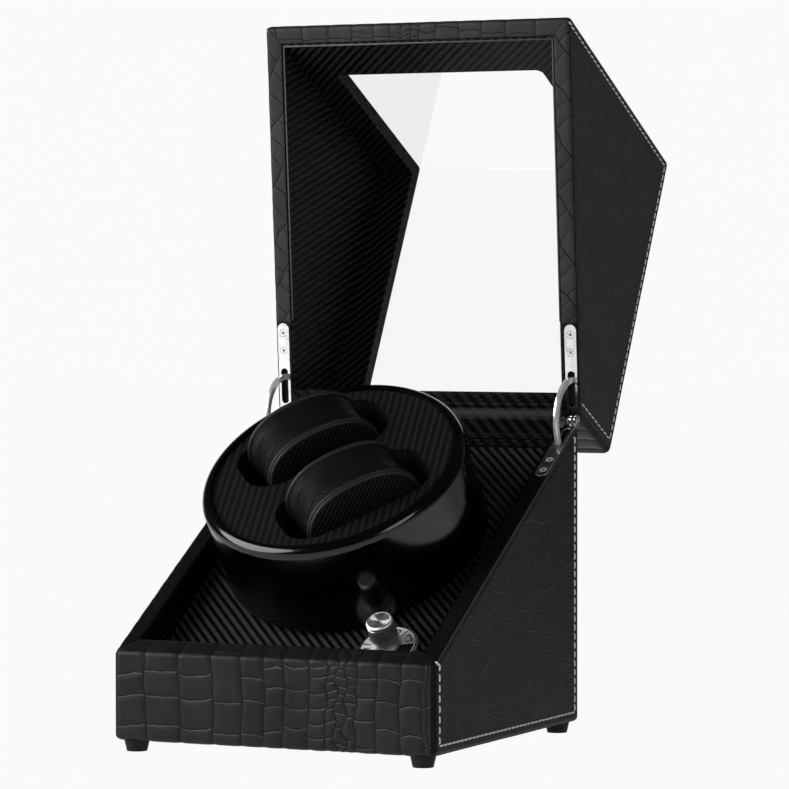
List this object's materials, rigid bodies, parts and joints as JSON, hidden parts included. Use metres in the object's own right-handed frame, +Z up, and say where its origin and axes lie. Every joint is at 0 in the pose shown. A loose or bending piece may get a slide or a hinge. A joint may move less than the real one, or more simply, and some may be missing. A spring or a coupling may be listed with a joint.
{
  "type": "watch winder box",
  "caption": "Leather-covered watch winder box with a windowed lid on quadrant hinges, a geared turning drum with watch cushions and a control knob.",
  "frame": {"origin": "on the table under the middle of the floor area that the open box covers, lid included", "axes": "+X to the right seen from the front, +Y to the back where the lid opens, +Z up"},
  "size_m": [0.18, 0.3066, 0.3768],
  "materials": {
    "croc_leather": "embossed reptile grain, satin",
    "side_leather": "fine grain, satin",
    "carbon_cloth": "carbon weave pattern, semi gloss",
    "board": "dark stained fibreboard",
    "gloss_black": "high gloss lacquer",
    "well_black": "matt black",
    "cushion_leather": "soft padded leather",
    "hinge_chrome": "polished",
    "turned_aluminium": "turned, brushed",
    "dial_metal": "printed satin plate",
    "black_rubber": "matt",
    "clear_sheet": "clear polished",
    "steel": "plain",
    "brass": "machined",
    "nylon": "moulded",
    "black_plastic": "moulded",
    "circuit_board": "solder mask"
  },
  "bodies": {
    "case": {"base_floor": "board", "base_front_panel": "croc_leather", "base_hinge_screws": "hinge_chrome", "base_left_panel": "side_leather", "base_lining_front": "carbon_cloth", "base_lining_left": "carbon_cloth", "base_lining_rear": "carbon_cloth", "base_lining_right": "carbon_cloth", "base_rear_panel": "croc_leather", "base_right_panel": "side_leather", "bearing_bush": "brass", "board_pillars": "nylon", "bracket_pillars": "steel", "control_board": "circuit_board", "deck_cleat_left": "board", "deck_cleat_right": "board", "deck_panel": "carbon_cloth", "dial_plate": "dial_metal", "foot_screws": "steel", "gear_motor": "steel", "hinge_base_leaf_left": "hinge_chrome", "hinge_base_leaf_right": "hinge_chrome", "hinge_pin_left": "hinge_chrome", "hinge_pin_right": "hinge_chrome", "mode_switch": "black_plastic", "motor_bracket": "steel", "power_inlet": "black_plastic", "rubber_feet": "black_rubber", "switch_nut": "steel", "thrust_washer": "nylon"},
    "lid": {"hinge_lid_leaf_left": "hinge_chrome", "hinge_lid_leaf_right": "hinge_chrome", "lid_front_panel": "croc_leather", "lid_hinge_screws": "hinge_chrome", "lid_left_panel": "side_leather", "lid_lining_front": "carbon_cloth", "lid_lining_left": "carbon_cloth", "lid_lining_rear": "carbon_cloth", "lid_lining_right": "carbon_cloth", "lid_lining_top": "carbon_cloth", "lid_rear_panel": "croc_leather", "lid_right_panel": "side_leather", "lid_top_panel": "croc_leather", "lid_window": "clear_sheet"},
    "stays": {"quadrant_stay_left": "hinge_chrome", "quadrant_stay_right": "hinge_chrome"},
    "drum": {"drum_bowl": "gloss_black", "drum_face": "carbon_cloth", "drum_shaft": "steel", "hub_screw": "steel", "drive_gear": "nylon", "well_cup_front": "well_black", "well_cup_rear": "well_black"},
    "rotor": {"motor_pinion": "brass", "motor_shaft": "steel"},
    "cushion_front": {"watch_cushion_front": "cushion_leather"},
    "cushion_rear": {"watch_cushion_rear": "cushion_leather"},
    "knob": {"control_knob": "turned_aluminium", "switch_shaft": "steel"}
  },
  "joints": [
    {"name": "lid_hinge", "type": "hinge", "parent": "case", "child": "lid", "pos_m": [0, 0.02874, 0.16475], "axis": [-1, 0, 0], "range_deg": [-118, 0]},
    {"name": "stay_slide", "type": "hinge", "parent": "case", "child": "stays", "pos_m": [0, 0.02874, 0.16475], "axis": [-1, 0, 0], "range_deg": [-26.6, 0]},
    {"name": "drum_spin", "type": "hinge", "parent": "case", "child": "drum", "pos_m": [0, -0.05276, 0.09937], "axis": [0, -0.5948, 0.8039], "continuous": true},
    {"name": "motor_spin", "type": "hinge", "parent": "case", "child": "rotor", "pos_m": [-0.03, -0.05276, 0.09937], "axis": [0, -0.5948, 0.8039], "continuous": true},
    {"name": "knob_turn", "type": "hinge", "parent": "case", "child": "knob", "pos_m": [0.0455, -0.11326, 0.0546], "axis": [0, -0.5948, 0.8039], "range_deg": [-270, 0]},
    {"name": "cushion_front_lift", "type": "slide", "parent": "drum", "child": "cushion_front", "axis": [0, -0.5948, 0.8039], "range_m": [0, 0.06]},
    {"name": "cushion_rear_lift", "type": "slide", "parent": "drum", "child": "cushion_rear", "axis": [0, -0.5948, 0.8039], "range_m": [0, 0.06]}
  ],
  "couplings": [
    {"joint": "stay_slide", "follows": "lid_hinge", "ratio": 0.225},
    {"joint": "motor_spin", "follows": "drum_spin", "ratio": -4}
  ]
}
